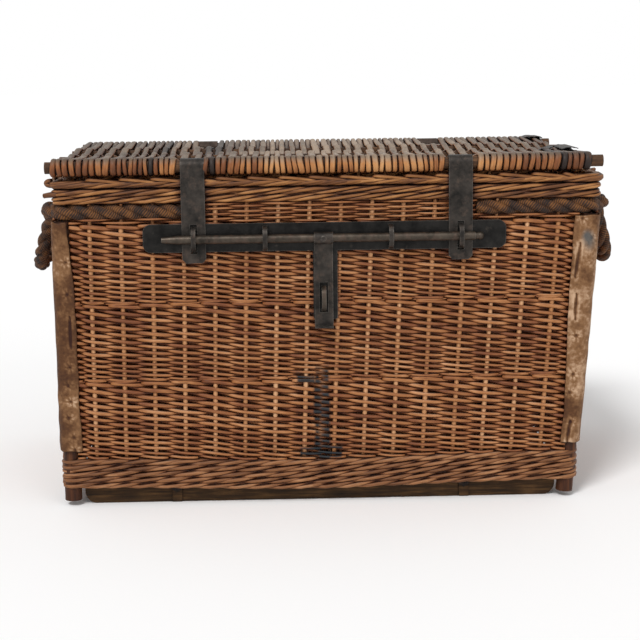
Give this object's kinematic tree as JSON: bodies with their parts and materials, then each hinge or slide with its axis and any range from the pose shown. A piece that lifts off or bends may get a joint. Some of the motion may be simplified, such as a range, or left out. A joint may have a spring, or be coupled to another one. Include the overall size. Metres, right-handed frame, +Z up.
{
  "type": "wicker trunk",
  "caption": "Woven willow travelling trunk with a hinged lid, iron hasps on a sliding lock bar, rawhide corners, rope handles and wooden runners.",
  "frame": {"origin": "middle of the bounding box at floor level, without the rope loops", "axes": "+X to the trunk's right seen from the front, +Y from the front to the hinged rear, +Z up"},
  "size_m": [1.0222, 0.5358, 0.5763],
  "materials": {
    "willow_weave": "whole willow rods, woven, oiled by handling and browned with age",
    "willow_stake": "peeled willow rod, dry and dull",
    "hazel_stick": "round hazel stick, sawn ends, weathered",
    "ash_post": "round ash pole, bark off, worn",
    "elm_runner": "sawn elm board, dark with floor dirt",
    "cane_lashing": "split cane, dark",
    "rawhide": "dried rawhide, shrunk on, stiff and matt",
    "hemp_rope": "three-strand hemp rope, browned",
    "black_iron": "sheet iron, blackened and worn",
    "forged_iron": "hand-forged strap iron, brown-black patina",
    "worn_iron": "forged round iron, rubbed by sliding"
  },
  "bodies": {
    "trunk": {"base_panel": "willow_weave", "base_sticks": "hazel_stick", "corner_hide_front_left": "rawhide", "corner_hide_front_right": "rawhide", "corner_hide_rear_left": "rawhide", "corner_hide_rear_right": "rawhide", "corner_post_front_left": "ash_post", "corner_post_front_right": "ash_post", "corner_post_rear_left": "ash_post", "corner_post_rear_right": "ash_post", "foot_wale": "willow_weave", "front_stakes": "willow_stake", "front_wall": "willow_weave", "guide_staple_left": "forged_iron", "guide_staple_right": "forged_iron", "hasp_staple_left": "forged_iron", "hasp_staple_right": "forged_iron", "hinge_backing_left": "forged_iron", "hinge_backing_right": "forged_iron", "hinge_rivets": "forged_iron", "hinge_strap_left": "forged_iron", "hinge_strap_right": "forged_iron", "left_stakes": "willow_stake", "left_wall": "willow_weave", "lock_plate": "black_iron", "padlock_staple": "forged_iron", "rear_stakes": "willow_stake", "rear_wall": "willow_weave", "right_stakes": "willow_stake", "right_wall": "willow_weave", "rope_tail_front_left": "hemp_rope", "rope_tail_front_right": "hemp_rope", "rope_tail_rear_left": "hemp_rope", "rope_tail_rear_right": "hemp_rope", "runner_front": "elm_runner", "runner_lashings": "cane_lashing", "runner_rear": "elm_runner", "top_border": "willow_weave", "upper_wale": "willow_weave"},
    "lid": {"lid_weave": "willow_weave", "lid_stick_front": "hazel_stick", "lid_stick_rear": "hazel_stick", "lid_inner_sticks": "hazel_stick", "lid_patch_corner": "rawhide", "lid_patch_side": "rawhide"},
    "hasp_left": {"hasp_left": "forged_iron"},
    "hasp_right": {"hasp_right": "forged_iron"},
    "lock_bar": {"lock_bar": "worn_iron"},
    "lock_hasp": {"lock_hasp": "forged_iron", "lock_hasp_rivet": "forged_iron"},
    "rope_left": {"rope_loop_left": "hemp_rope"},
    "rope_right": {"rope_loop_right": "hemp_rope"}
  },
  "joints": [
    {"name": "lid_hinge", "type": "hinge", "parent": "trunk", "child": "lid", "pos_m": [0, 0.25195, 0.5603], "axis": [-1, 0, 0], "range_deg": [0, 105]},
    {"name": "hasp_left_swing", "type": "hinge", "parent": "lid", "child": "hasp_left", "pos_m": [-0.214, -0.23505, 0.5603], "axis": [-1, 0, 0], "range_deg": [0, 200]},
    {"name": "hasp_right_swing", "type": "hinge", "parent": "lid", "child": "hasp_right", "pos_m": [0.216, -0.23505, 0.5603], "axis": [-1, 0, 0], "range_deg": [0, 200]},
    {"name": "bar_slide", "type": "slide", "parent": "trunk", "child": "lock_bar", "axis": [1, 0, 0], "range_m": [-0.044, 0.088]},
    {"name": "lock_hasp_swing", "type": "hinge", "parent": "lock_bar", "child": "lock_hasp", "pos_m": [-0.006, -0.25645, 0.444], "axis": [-1, 0, 0], "range_deg": [0, 175]},
    {"name": "rope_left_swing", "type": "hinge", "parent": "trunk", "child": "rope_left", "pos_m": [-0.45627, 0.00845, 0.488], "axis": [0, 1, 0], "range_deg": [-18, 110], "stiffness_Nm_per_rad": 0.1, "springref_deg": 4.13},
    {"name": "rope_right_swing", "type": "hinge", "parent": "trunk", "child": "rope_right", "pos_m": [0.459, 0.00845, 0.488], "axis": [0, -1, 0], "range_deg": [-18, 110], "stiffness_Nm_per_rad": 0.1, "springref_deg": 4.13}
  ]
}
